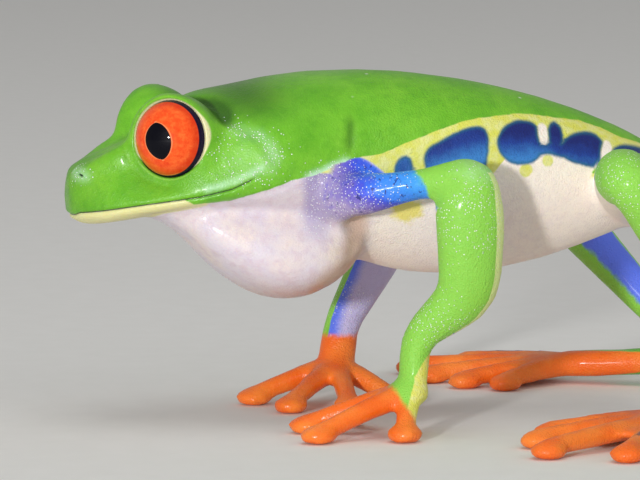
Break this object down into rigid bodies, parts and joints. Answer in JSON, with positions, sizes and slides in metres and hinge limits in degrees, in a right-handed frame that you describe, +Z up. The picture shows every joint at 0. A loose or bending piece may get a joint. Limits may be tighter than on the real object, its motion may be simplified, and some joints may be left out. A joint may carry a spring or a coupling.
{
  "type": "red-eyed tree frog",
  "caption": "Life-size still model of an adult male red-eyed tree frog, standing high on its hands and feet with its throat half filled.",
  "frame": {"origin": "bottom centre of the bounding box, on the floor that the hands and feet rest on", "axes": "-X towards the snout, +X towards the rump, -Y towards the frog's left side, +Y towards its right side, +Z up"},
  "size_m": [0.0558, 0.0588, 0.0282],
  "materials": {
    "green_skin": "moist green skin, finely grained, satin",
    "throat_skin": "thin pinkish white skin, satin",
    "blue_skin": "moist blue to violet skin, satin",
    "orange_skin": "moist orange skin, smooth and glossy",
    "red_eye": "wet red eye under a clear dome"
  },
  "bodies": {
    "root": {"eye_left": "red_eye", "eye_right": "red_eye", "finger_left_1": "orange_skin", "finger_left_2": "orange_skin", "finger_left_3": "orange_skin", "finger_left_4": "orange_skin", "finger_right_1": "orange_skin", "finger_right_2": "orange_skin", "finger_right_3": "orange_skin", "finger_right_4": "orange_skin", "foot_left": "orange_skin", "foot_right": "orange_skin", "forearm_left": "green_skin", "forearm_right": "green_skin", "hand_left": "orange_skin", "hand_right": "orange_skin", "head": "green_skin", "shank_left": "green_skin", "shank_right": "green_skin", "thigh_left": "blue_skin", "thigh_right": "blue_skin", "toe_left_1": "orange_skin", "toe_left_2": "orange_skin", "toe_left_3": "orange_skin", "toe_left_4": "orange_skin", "toe_left_5": "orange_skin", "toe_right_1": "orange_skin", "toe_right_2": "orange_skin", "toe_right_3": "orange_skin", "toe_right_4": "orange_skin", "toe_right_5": "orange_skin", "trunk": "green_skin", "upper_arm_left": "blue_skin", "upper_arm_right": "blue_skin", "vocal_sac": "throat_skin"}
  },
  "joints": []
}
